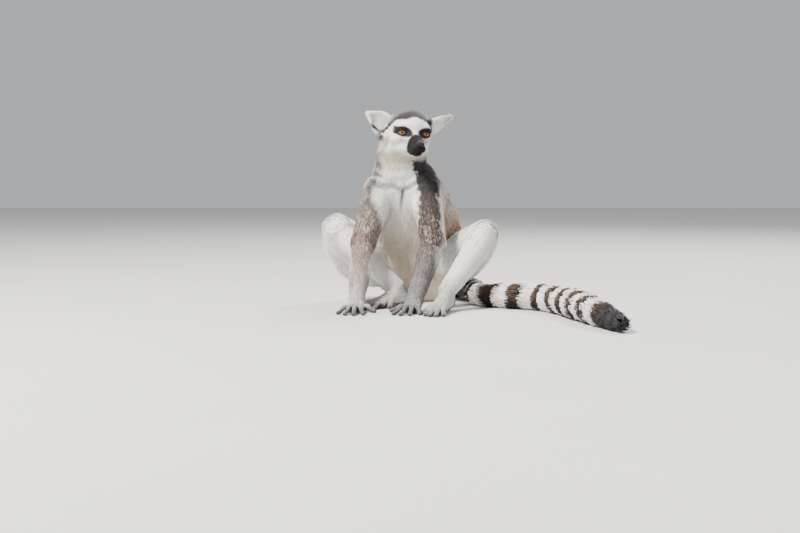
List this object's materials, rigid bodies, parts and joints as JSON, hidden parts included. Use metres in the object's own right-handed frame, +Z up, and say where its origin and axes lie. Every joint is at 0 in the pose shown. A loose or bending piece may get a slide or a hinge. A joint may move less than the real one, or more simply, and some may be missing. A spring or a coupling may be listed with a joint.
{
  "type": "ring-tailed lemur, sitting",
  "caption": "Life-size still model of a ring-tailed lemur sitting upright with its knees drawn up, hands on the floor in front, head turned, and long ringed tail laid beside it.",
  "frame": {"origin": "middle of the flat under the rump, on the floor", "axes": "+Z up; -Y is forwards, the way the chest roughly faces; +X is the animal's left, where the tail lies"},
  "size_m": [0.414, 0.5273, 0.3019],
  "materials": {
    "coat_white": "dense soft off-white fur, longer on the legs and chest",
    "coat_grey_brown": "dense soft grey-brown fur, redder on the back and flanks, darker on the nape",
    "coat_ringed": "thick fluffy fur in off-white and brown-black rings",
    "bare_skin": "dull dark bare skin of the digits, palms, soles and lips",
    "nose": "moist black nose skin with fine pebbling",
    "eye": "wet amber eye with a small black pupil",
    "nail": "dark horn, slightly shiny"
  },
  "bodies": {
    "root": {"head": "coat_white", "ear_left": "coat_white", "ear_right": "coat_white", "leg_left_thigh": "coat_white", "leg_right_thigh": "coat_white", "leg_left_shank": "coat_white", "leg_right_shank": "coat_white", "foot_left": "coat_white", "foot_right": "coat_white", "trunk": "coat_grey_brown", "neck": "coat_grey_brown", "arm_left_upper": "coat_grey_brown", "arm_right_upper": "coat_grey_brown", "arm_left_fore": "coat_grey_brown", "arm_right_fore": "coat_grey_brown", "hand_left": "coat_grey_brown", "hand_right": "coat_grey_brown", "tail_1": "coat_ringed", "tail_2": "coat_ringed", "tail_3": "coat_ringed", "tail_4": "coat_ringed", "tail_5": "coat_ringed", "eye_left": "eye", "eye_right": "eye", "nose": "nose"}
  },
  "joints": []
}
